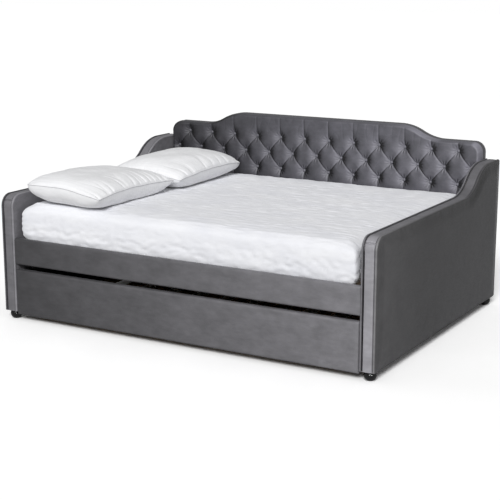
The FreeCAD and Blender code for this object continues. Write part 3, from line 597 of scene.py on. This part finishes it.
def foot_wrap(inner, outer):
    """Velvet turned under the foot of an arm, as three closed rings one under another.

    inner and outer are the boxes of the arm's two pads.
    """
    tuck = 0.0015
    left, right = min(inner[0].x, outer[0].x) + tuck, max(inner[1].x, outer[1].x) - tuck
    front, rear, top = inner[0].y + tuck, inner[1].y - tuck, inner[0].z
    rings = []
    for drop, inset in ((0.0002, 0.0), (0.0010, 0.0004), (0.0016, 0.0022)):
        loop = round_rectangle((left + inset, front + inset), (right - inset, rear - inset), 0.003)
        rings.append(np.column_stack([loop, np.full(len(loop), top - drop)]))
    return np.array(rings)


def capped_strip(spots):
    """Faces of a strip whose two long edges meet on its seat, closed underneath and at its ends."""
    rows, columns = spots.shape[:2]
    order = np.arange(rows * columns).reshape(rows, columns)
    under = np.column_stack([order[:-1, 0], order[1:, 0], order[1:, -1], order[:-1, -1]])
    ends = [order[0][::-1].tolist(), order[-1].tolist()]
    return grid_faces(rows, columns) + under.tolist() + ends


# Back.

def tufted_height(place):
    """How far the tufted foam stands off its board: flat diamonds, narrow pleats, deep button wells."""
    half_row = (max(TUFT_ROWS) - 1) / 2 * TUFT_PITCH
    x = np.clip(place[..., 0], -half_row, half_row) / TUFT_PITCH
    lift = place[..., 2] - (TUFT_TOP - TUFT_DROP)
    beyond = np.maximum(np.abs(lift) - TUFT_DROP, 0)
    step = np.clip(lift, -TUFT_DROP, TUFT_DROP) / (2 * TUFT_DROP)
    lean = math.cos(math.atan(TUFT_PITCH / (2 * TUFT_DROP)))
    rising, falling = (pleat(x + sign * step) * TUFT_PITCH * lean for sign in (1, -1))
    close = np.minimum(rising, falling)
    fade = 1 - 0.62 * smooth(beyond / 0.09)
    sag = sum(depth * np.exp(-close / reach) for depth, reach in PLEAT_SAGS)
    well = np.zeros(place.shape[:2])
    for button_x, button_z in button_places():
        near = np.hypot(place[..., 0] - button_x, (place[..., 2] - button_z) * 0.92)
        slope = np.maximum(near - WELL_FLOOR, 0) / WELL_REACH
        well = np.maximum(well, WELL_DEPTH * np.exp(-slope ** 1.25))
    return TUFT_STAND - sag * fade - well


def pleat(place):
    """Distance in pitches to the nearest whole number."""
    return np.abs(place - np.round(place))


def button_places():
    """The X and Z of every button."""
    for row, count in enumerate(TUFT_ROWS):
        for index in range(count):
            yield (index - (count - 1) / 2) * TUFT_PITCH, TUFT_TOP - row * TUFT_DROP


def puckers(place):
    """The height of the small folds that run out from every button."""
    height = np.zeros(place.shape[:2])
    for x, z in button_places():
        reach = np.hypot(place[..., 0] - x, place[..., 2] - z)
        turn = np.arctan2(place[..., 2] - z, place[..., 0] - x)
        height += np.cos(11 * turn + 40 * x) * bell(reach - 0.021, 0.013) * smooth(reach / 0.016)
    return PUCKER_DEPTH * height


def tufted_back():
    """Deep diamond tufting that rounds over the top edge and the end corners."""
    low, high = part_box("back_tufted_pad")
    seat = high.y
    loop = back_loop(0.001, low.z)
    wide = loop[-1, 0] - loop[0, 0]
    columns = loop[0, 0] + eased(wide, TUFT_GRID_STEP, BACK_CORNER, BACK_CORNER, 20)
    tall = high.z - low.z
    covered, seen = 0.34, 0.66
    fine_rows = eased(seen, TUFT_GRID_STEP / tall, 0.01, 0.09, 15)
    rows = np.concatenate([np.arange(0, covered, 0.03), covered + fine_rows])
    flat = filled(loop, columns, rows)
    inside = distance_to(flat, loop)
    place = np.dstack([flat[..., 0], np.full(flat.shape[:2], seat), flat[..., 1]])
    height = tufted_height(place) + puckers(place)
    height += 0.0010 * waves(place, (0.05, 0.2, 0.05), 6)
    height -= 0.0005 * creases(place, (0.055, 0.2, 0.11), 7) * smooth((place[..., 2] - TUFT_TOP) / 0.03)
    ends = smooth((np.abs(place[..., 0]) - 0.95) / 0.08)
    height *= rim(inside, 0.015 + 0.006 * ends)
    place[..., 1] -= height
    place[0, :, 1] = seat
    made = piece("back_tufted_pad", place, capped_grid(place), PAINTED_LIGHT_VELVETS["back_tufted_pad"], "frame",
                 ["back_tufted_pad"], 80)


def buttons():
    """Covered buttons, domed and gathered at the rim."""
    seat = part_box("back_tufted_pad")[1].y - BUTTON_SEAT
    rings, around = 7, 24
    points, faces = [], []
    for x, z in button_places():
        first = len(points)
        for ring in range(rings):
            lift = math.pi / 2 * ring / rings
            for index in range(around):
                turn = 2 * math.pi * index / around
                gathered = 1 + 0.03 * math.cos(8 * turn) * math.cos(lift)
                radius = BUTTON_RADIUS * math.cos(lift) * gathered
                y = seat - BUTTON_DOME * math.sin(lift)
                points.append((x + radius * math.cos(turn), y, z + radius * math.sin(turn)))
        points.append((x, seat - BUTTON_TIP, z))
        faces += grid_faces(rings, around, first, ring=True)
        tip, last = len(points) - 1, first + (rings - 1) * around
        faces += [[last + index, last + (index + 1) % around, tip] for index in range(around)]
        faces.append([first + index for index in reversed(range(around))])
    piece("tuft_buttons", points, faces, PAINTED_LIGHT_VELVETS["tuft_buttons"], "frame", ["tuft_buttons"], 60)


def rear_cover():
    """Velvet stretched over the back of the frame."""
    low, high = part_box("back_rear_cover")
    loop = back_loop(0.0035 + EDGE_FALL)
    columns = loop[0, 0] + eased(loop[-1, 0] - loop[0, 0], 0.02, 0.06, 0.06, 10)
    tall = high.z - low.z
    rows = eased(tall, 0.018, 0.006, 0.006, 6) / tall
    flat = filled(loop, columns, rows)
    inside = distance_to(flat, closed(loop))
    place = np.dstack([flat[..., 0], np.full(flat.shape[:2], low.y), flat[..., 1]])
    height = 0.0045 * rim(inside, 0.004)
    height += 0.0007 * smooth(inside / 0.04) * waves(place, (0.30, 0.2, 0.12), 8)
    height -= 0.0009 * bell(inside - 0.012, 0.012) * np.abs(waves(place, (0.03, 0.2, 0.03), 9))
    place[..., 1] += height
    made = piece("back_rear_cover", place, capped_grid(place), VELVET, "frame", ["back_rear_cover"])


def back_edge():
    """The strip round the back's edge and the piping behind it."""
    low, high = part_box("back_edge_strip")
    line = spread(back_loop(), 0.005)
    normal = outward(line)
    half, middle = (high.y - low.y) / 2, (high.y + low.y) / 2
    across = eased(2 * half, 0.006, 0.003, 0.003, 5) - half
    crown = 0.004 * rim(half - np.abs(across), 0.003) - EDGE_FALL * (across + half) / (2 * half)
    spots = edge_band(line, normal, across, crown, middle)
    made = piece("back_edge_strip", spots, capped_strip(spots), PAINTED_LIGHT_VELVETS["back_edge_strip"],
                 "frame", ["back_edge_strip"], 60)
    low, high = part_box("back_piping")
    turns = np.radians(np.arange(0, 360, 30))
    radius = (high.y - low.y) / 2
    core = line - (0.0012 + EDGE_FALL) * normal
    rings = np.dstack([
        core[:, :1] + radius * 0.8 * np.cos(turns) * normal[:, :1],
        np.broadcast_to((low.y + high.y) / 2 + radius * 0.95 * np.sin(turns), (len(line), len(turns))),
        core[:, 1:] + radius * 0.8 * np.cos(turns) * normal[:, 1:],
    ])
    piece("back_piping", rings, swept(rings), VELVET, "frame", ["back_piping"], 70)


def edge_band(line, normal, across, crown, middle):
    """A strip round the back's outline: across runs along Y and the crown stands outwards."""
    seat = line - 0.004 * normal
    x, z = (seat[:, axis, None] + crown * normal[:, axis, None] for axis in (0, 1))
    place = np.dstack([x, np.broadcast_to(middle + across, x.shape), z])
    uneven = 0.0007 * waves(place, (0.03, 0.03, 0.03), 10) * (np.abs(across) < 0.018)
    place[..., ::2] += uneven[..., None] * normal[:, None, :]
    return place


# Front rail and trundle panel.

def wrapped_board(pad_node, board_node, body, seed, folds):
    """Velvet over a padded board: round front edges, turned over the top and under the foot."""
    low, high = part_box(pad_node)
    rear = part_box(board_node)[1].y
    behind, top, foot = rear + CLOTH, high.z + CLOTH, low.z - CLOTH
    outer = np.vstack([
        [(behind, top - BOARD_FLAP), (behind, top - 0.02)],
        arc((behind - 0.003, top - 0.003), 0.003, 0, 90, 20),
        arc((low.y + BOARD_ROUND, top - BOARD_ROUND), BOARD_ROUND, 90, 180, 10),
        arc((low.y + BOARD_ROUND, foot + BOARD_ROUND), BOARD_ROUND, 180, 270, 10),
        arc((behind - 0.003, foot + 0.003), 0.003, 270, 360, 20),
        [(behind, foot + 0.02)],
    ])
    outer = spread(outer, 0.006)
    gap = 0.0003
    inner = np.array([
        (rear + gap, low.z + 0.02), (rear + gap, low.z - gap), (high.y - gap, low.z - gap),
        (high.y - gap, high.z + gap), (rear + gap, high.z + gap), (rear + gap, top - BOARD_FLAP)])
    section = np.vstack([outer, inner])
    stations = low.x + eased(high.x - low.x, 0.009, 0.006, 0.006, 5)
    rings = np.empty((len(stations), len(section), 3))
    rings[..., 0] = stations[:, None]
    rings[..., 1:] = section
    soft = np.zeros(len(section))
    soft[:len(outer)] = 1
    front = soft * smooth((high.y - section[:, 0]) / 0.006)
    up = np.clip((section[:, 1] - low.z) / (high.z - low.z), 0, 1)
    on_top = soft * smooth((section[:, 1] - high.z + 0.004) / 0.004)
    swell = 0.0022 * np.sqrt(np.sin(np.pi * up) + 1e-9)
    wavy = waves(rings, (0.30, 1, 0.07), seed)
    rings[..., 1] -= front * (swell + 0.0011 * wavy) * end_ease(stations)[:, None]
    tucks = np.abs(waves(rings, (0.024, 1, 1), seed + 1))
    rings[..., 2] += on_top * folds * (tucks - 0.25)
    under = soft * smooth((low.z + 0.004 - section[:, 1]) / 0.004)
    rings[..., 2] -= under * 0.4 * folds * waves(rings, (0.11, 1, 1), seed + 2)
    points, faces = rings.reshape(-1, 3).tolist(), swept(rings)
    for x, side in ((low.x, -1), (high.x, 1)):
        turned_in = end_flap(x, side, (low.y + 0.003, behind), (foot + 0.0004, top - 0.0004))
        faces += [[len(points) + index for index in face] for face in swept(turned_in)]
        points += turned_in.reshape(-1, 3).tolist()
    made = piece(pad_node, points, faces, PAINTED_LIGHT_VELVETS[pad_node], body, [pad_node], 60)


def end_flap(x, side, depth, height):
    """Velvet folded over the end of a board, as three closed rings one outside another."""
    rings = []
    for out, inset in ((0.0003, 0.0), (0.0012, 0.0004), (0.0018, 0.0022)):
        foot, top = height[0] + inset, height[1] - inset
        loop = round_rectangle((depth[0] + inset, foot), (depth[1] - inset, top), 0.004)
        rings.append(np.column_stack([np.full(len(loop), x + side * out), loop]))
    return np.array(rings)


def end_ease(stations):
    """0 at both ends of a row of stations and 1 a little way in."""
    return smooth((stations - stations[0]) / 0.02) * smooth((stations[-1] - stations) / 0.02)


# Bedding.

def box_surface(counts):
    """A cube of grids from -1 to 1 with its shared edges welded."""
    work = bmesh.new()
    axes = [np.linspace(-1, 1, count + 1) for count in counts]
    seen = {}

    def corner(index):
        key = tuple(index)
        if key not in seen:
            seen[key] = work.verts.new([axes[axis][index[axis]] for axis in range(3)])
        return seen[key]

    for fixed in range(3):
        first, second = [axis for axis in range(3) if axis != fixed]
        for end in (0, counts[fixed]):
            for i in range(counts[first]):
                for j in range(counts[second]):
                    face = []
                    for di, dj in ((0, 0), (1, 0), (1, 1), (0, 1)):
                        index = [0, 0, 0]
                        index[fixed], index[first], index[second] = end, i + di, j + dj
                        face.append(corner(index))
                    work.faces.new(face)
    work.verts.index_update()
    points = np.array([vertex.co[:] for vertex in work.verts])
    faces = [[vertex.index for vertex in face.verts] for face in work.faces]
    work.free()
    return points, faces


def rounded(points, half, radius):
    """Box points moved onto a box with round edges; also their outward normals."""
    core = np.clip(points, -(half - radius), half - radius)
    away = points - core
    length = np.linalg.norm(away, axis=1)[:, None]
    normal = away / np.maximum(length, 1e-9)
    return core + normal * radius, normal


def mattress():
    """A soft mattress: rippled knit on top and quilted sides that swell a little."""
    low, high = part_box("mattress")
    half, middle = np.array((high - low) / 2), np.array((high + low) / 2)
    unit, faces = box_surface(MATTRESS_GRID)
    points = half * np.sign(unit) * (1 - (1 - np.abs(unit)) ** 1.12)
    place, normal = rounded(points, half, np.array(MATTRESS_ROUND))
    place = place + middle
    top = smooth((normal[:, 2] - 0.2) / 0.7)
    side = 1 - np.abs(normal[:, 2])
    up = np.clip((place[:, 2] - low.z) / (high.z - low.z), 0, 1)
    from_edge = np.minimum(half[0] - np.abs(points[:, 0]), half[1] - np.abs(points[:, 1]))
    sink = 0.011 * top * (1 - smooth(from_edge / 0.16))
    ripple = waves(place, (0.070, 0.0150, 0.05), 20) + 0.5 * waves(place, (0.035, 0.010, 0.05), 21)
    drift = waves(place, (0.30, 0.22, 0.3), 22)
    place[:, 2] -= sink + top * (0.0020 - 0.0034 * ripple + 0.0022 * drift)
    swing = waves(place, (0.16, 0.16, 0.09), 23)
    diagonal = place[:, 0] * 7.5 + place[:, 1] * 7.5 + place[:, 2] * 13 + 1.5 * swing
    drape = np.abs(np.sin(np.pi * diagonal)) ** 0.7
    scallop = creases(place, (0.075, 0.075, 0.052), 24)
    lower = smooth((0.75 - up) / 0.4)
    swell = MATTRESS_SWELL * np.sin(np.pi * up)
    quilt = creases(place, (0.060, 0.060, 0.042), 25)
    near_end, near_side = (
        smooth((np.abs(points[:, axis]) - half[axis]) / run + 1) for axis, run in ((0, 0.09), (1, 0.08)))
    corner = near_end * near_side
    place[:, :2] += np.sign(points[:, :2]) * (0.017 * corner * side)[:, None]
    shift = side * (swell - 0.6 * MATTRESS_SWELL + lower * (0.0030 * drape - 0.0068 * scallop)
                    - 0.0042 * quilt + 0.0022 * swing)
    place += normal * (1, 1, 0) * shift[:, None]
    made = piece("mattress", place, faces, FINISH["mattress_ticking"], "mattress",
                 ["mattress"], 80)


def pillow(node, seed, corners, pulls, end_folds):
    """A plump pillow: two sheets joined round a corded seam, gathered into short folds beside it.

    corners gives the seam's height over the mattress at its (-x, -y), (x, -y), (-x, y) and (x, y) corners,
    and pulls how far each of them is drawn in; end_folds is how deep the short sides are gathered.
    """
    low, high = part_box(node)
    half, middle = np.array((high - low) / 2), np.array((high + low) / 2)
    tall = high.z - low.z
    columns, rows = PILLOW_GRID
    turn_u, turn_v = (np.linspace(-math.pi / 2, math.pi / 2, count) for count in (columns, rows))
    ease_u, ease_v = (0.72 * 2 * turn / math.pi + 0.28 * np.sin(turn) for turn in (turn_u, turn_v))
    u, v = np.meshgrid(ease_u, ease_v)
    bow_u, bow_v = 0.040 * (1 - v ** 2) ** 1.2, 0.036 * (1 - u ** 2) ** 1.2
    level, drawn = between_corners(u, v, corners, pulls)
    x = half[0] * u * (1 - bow_u * np.abs(u) ** 3 - drawn)
    y = half[1] * v * (1 - bow_v * np.abs(v) ** 3 - drawn)
    flat = np.dstack([x, y, np.zeros_like(x)])
    wander = waves(flat, (0.13, 0.13, 1), seed)
    seam = level + 0.018 * (1 - u ** 2 * v ** 2) + 0.005 * wander
    edge_u, edge_v = half[0] * (1 - np.abs(u)), half[1] * (1 - np.abs(v))
    fullness = ((1 - np.abs(u) ** 2.4) * (1 - np.abs(v) ** 2.9)) ** 0.48
    folds_v = gathers_along(flat[..., 1], flat[..., 0], edge_u, seed + 1)
    folds_u = gathers_along(flat[..., 0], flat[..., 1], edge_v, seed + 2)
    lumps = 0.007 * waves(flat, (0.14, 0.16, 1), seed + 3) + 0.0018 * waves(flat, (0.035, 0.05, 1), seed + 4)
    fine = smooth(np.minimum(edge_u, edge_v) / 0.012)
    upper = seam + (tall - 0.008 - seam.max()) * fullness
    upper += fine * (lumps * fullness - PILLOW_FOLDS * folds_v - end_folds * folds_u)
    under = seam - 1.35 * seam.max() * fullness ** 0.9 + fine * 0.004 * (wander - folds_v - folds_u)
    settled = 0.006
    under = settled * np.logaddexp(0, under / settled)
    upper = np.minimum(upper, tall)
    order = np.arange(rows * columns).reshape(rows, columns)
    edge = edge_order(order)
    below = order.ravel() + order.size
    below[edge] = edge
    for sheet in (upper, under):
        sheet.flat[edge] = seam.flat[edge]
    faces = grid_faces(rows, columns)
    faces += [below[face[::-1]].tolist() for face in faces]
    points = np.vstack([np.dstack([x, y, z]).reshape(-1, 3) for z in (upper, under)])
    points += (middle[0], middle[1], low.z)
    line = points[edge]
    points, faces = used_only(points, faces)
    made = piece(node, points, faces, FINISH["pillow_cotton"], node, [node], 180)
    seam_cord(f"{node}_piping", line, node)


def between_corners(u, v, corners, pulls):
    """The level between a pillow's four corners, and how far each place on it is drawn in."""
    level, drawn = np.zeros_like(u), np.zeros_like(u)
    for height, pull, (side_u, side_v) in zip(corners, pulls, ((-1, -1), (1, -1), (-1, 1), (1, 1))):
        near_u, near_v = side_u * u, side_v * v
        level += height * (1 + near_u) * (1 + near_v) / 4
        drawn += pull * np.maximum(near_u, 0) ** 5 * np.maximum(near_v, 0) ** 5
    return level, drawn


def gathers_along(along, across, inside, seed):
    """Short narrow folds square to a seam, from 0 to 1, that die out away from it."""
    placed = np.dstack([along / 0.052, across / 0.30, np.zeros_like(along)])
    folds = waves(placed, (1, 1, 1), seed)
    reach = 0.060 + 0.045 * waves(placed, (1.7, 5, 1), seed + 5)
    narrow = np.exp(-np.abs(folds) * 9) + 0.55 * np.clip(-folds, 0, 1)
    return narrow * np.exp(-np.clip(inside - 0.004, 0, None) / np.maximum(reach, 0.02))


def used_only(points, faces):
    """The same mesh without the points no face uses."""
    used = sorted({index for face in faces for index in face})
    place = {index: count for count, index in enumerate(used)}
    return points[used], [[place[index] for index in face] for face in faces]


def seam_cord(name, line, body):
    """A fine corded edge along a closed seam."""
    path = spread(closed(line), 0.006)[:-1]
    along = np.roll(path, -1, 0) - np.roll(path, 1, 0)
    along /= np.linalg.norm(along, axis=1)[:, None]
    side = np.cross(along, (0, 0, 1))
    side /= np.linalg.norm(side, axis=1)[:, None]
    up = np.cross(side, along)
    turns = np.radians(np.arange(0, 360, 45))[None, :, None]
    rings = path[:, None] + PIPING_RADIUS * (np.cos(turns) * side[:, None] + np.sin(turns) * up[:, None])
    count, around = rings.shape[:2]
    faces = grid_faces(count, around, ring=True)
    last = (count - 1) * around
    for index in range(around):
        after = (index + 1) % around
        faces.append([last + index, last + after, after, index])
    piece(name, rings, faces, PIPING, body, crease=180)


def straps():
    """Two woven tapes under the deck that hold its slats at their spacing."""
    low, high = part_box("slat_straps")
    wide, thick = 0.025, 0.0012
    x = np.linspace(low.x, high.x, 140)
    sag = 0.0022 * np.sin(np.pi * (x - low.x) / 0.078) ** 2
    points, faces = [], []
    for y in (low.y + wide / 2, high.y - wide / 2):
        rings = np.empty((len(x), 8, 3))
        rings[..., 0] = x[:, None]
        rings[..., 1] = y + wide * np.array([-0.5, -0.47, 0, 0.47, 0.5, 0.47, 0, -0.47])
        rings[..., 2] = high.z - sag[:, None] - thick * np.array([0.5, 1, 0.9, 1, 0.5, 0, 0, 0])
        first = len(points)
        faces += [[first + index for index in face] for face in swept(rings)]
        points += rings.reshape(-1, 3).tolist()
    piece("slat_straps", points, faces, FINISH["webbing"], "frame", ["slat_straps"], 40)


# Carried-over nodes.

def finish_nodes():
    """Every node keeps its shape and gets its finish."""
    slots = {entry["node"]: entry["material_slot"] for entry in frame["record"]["subparts"]}
    for name, node in frame["nodes"].items():
        material = TIMBER[grain_axis(name)] if slots[name] == "timber" else FINISH[slots[name]]
        # Painted shade: these boards are made near-black.
        if name in BOARDS_IN_PAINTED_SHADE:
            material = PAINTED_SHADE_CLOTH
        for index in range(len(node.material_slots)):
            node.material_slots[index].material = material


def grain_axis(name):
    """The axis a timber node's grain follows: its longest side, or that of one of its members."""
    if name in ("bed_slats", "trundle_slats"):
        return "Y"
    if name == "support_beam_legs":
        return "Z"
    low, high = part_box(name)
    size = high - low
    return "XYZ"[max(range(3), key=lambda axis: size[axis])]


# Stage.

def floor():
    """A plain pale floor that is seen as bright as the room."""
    material, tree, shader, where = start_material("floor", Roughness=0.9, Specular_IOR_Level=0.0)
    tone = speckle(tree, where, (0.5, 0.5, 0.5), 3.0)
    pale = ramp(tree, tone, [(0.3, (0.54, 0.54, 0.54)), (0.7, (0.56, 0.56, 0.56))])
    seen = put(tree, "LightPath").outputs["Is Camera Ray"]
    tree.links.new(tinted(tree, pale, between(tree, seen, 1.0, FLOOR_LIFT)), shader.inputs["Base Color"])
    mesh = bpy.data.meshes.new("floor")
    reach = 40
    corners = [(-reach, -reach, 0), (reach, -reach, 0), (reach, reach, 0), (-reach, reach, 0)]
    mesh.from_pydata(corners, [], [(0, 1, 2, 3)])
    mesh.materials.append(material)
    made = in_scene("floor", mesh)


def surroundings():
    """A white room: bright where it is seen, softer as the light it gives."""
    world = bpy.data.worlds.new("surroundings")
    world.use_nodes = True
    tree = world.node_tree
    seen = put(tree, "LightPath").outputs["Is Camera Ray"]
    strength = between(tree, seen, ROOM_LIGHT, 1.0)
    tree.links.new(strength, tree.nodes["Background"].inputs["Strength"])
    tree.nodes["Background"].inputs["Color"].default_value = (1, 1, 1, 1)
    bpy.context.scene.world = world


def sun(turn, lift, angle, strength):
    """Soft light from far off, in degrees to the right of straight in front and above level."""
    data = bpy.data.lights.new("sun", "SUN")
    data.angle = math.radians(angle)
    data.energy = strength
    in_scene("sun", data, turn=(math.radians(90 - lift), 0, math.radians(turn)))


def glint(name, place, target, size, power):
    """A small lamp that is only seen mirrored in glossy things."""
    data = bpy.data.lights.new(name, "AREA")
    data.shape = "DISK"
    data.size = size
    data.energy = power
    aim = (Vector(target) - Vector(place)).to_track_quat("-Z", "Y").to_euler()
    in_scene(name, data, place, aim).visible_diffuse = False


def camera():
    """A long lens from the right, in front and above."""
    data = bpy.data.cameras.new("camera")
    data.lens = CAMERA_LENS
    data.sensor_width = 36
    turn = (math.pi / 2 - CAMERA_PITCH, 0, CAMERA_YAW)
    bpy.context.scene.camera = in_scene("camera", data, CAMERA_PLACE, turn)


finish_nodes()
for arm_name, arm_side in (("left", -1), ("right", 1)):
    arm_panel(arm_name, arm_side, "outer")
    arm_panel(arm_name, arm_side, "inner")
    arm_strip(arm_name)
tufted_back()
buttons()
rear_cover()
back_edge()
wrapped_board("front_rail_pad", "front_rail_board", "frame", 30, 0.0006)
wrapped_board("trundle_front_pad", "trundle_front_board", "trundle", 40, 0.0022)
mattress()
pillow("front_pillow", 50, (0.100, 0.062, 0.060, 0.062), (0.085, 0.0, 0.03, 0.0), 0.002)
pillow("rear_pillow", 60, (0.060, 0.060, 0.070, 0.072), (0.03, 0.0, 0.03, 0.055), 0.004)
straps()
floor()
surroundings()
sun(turn=20, lift=36, angle=22, strength=2.56)
for side_name, place in (("left", (2.5, -5.7, 0.9)), ("right", (4.7, -4.2, 0.9))):
    glint(f"glint_{side_name}", place, target=(0.5, -0.8, 0.1), size=0.5, power=90)
camera()
bpy.context.scene.view_settings.view_transform = "Standard"
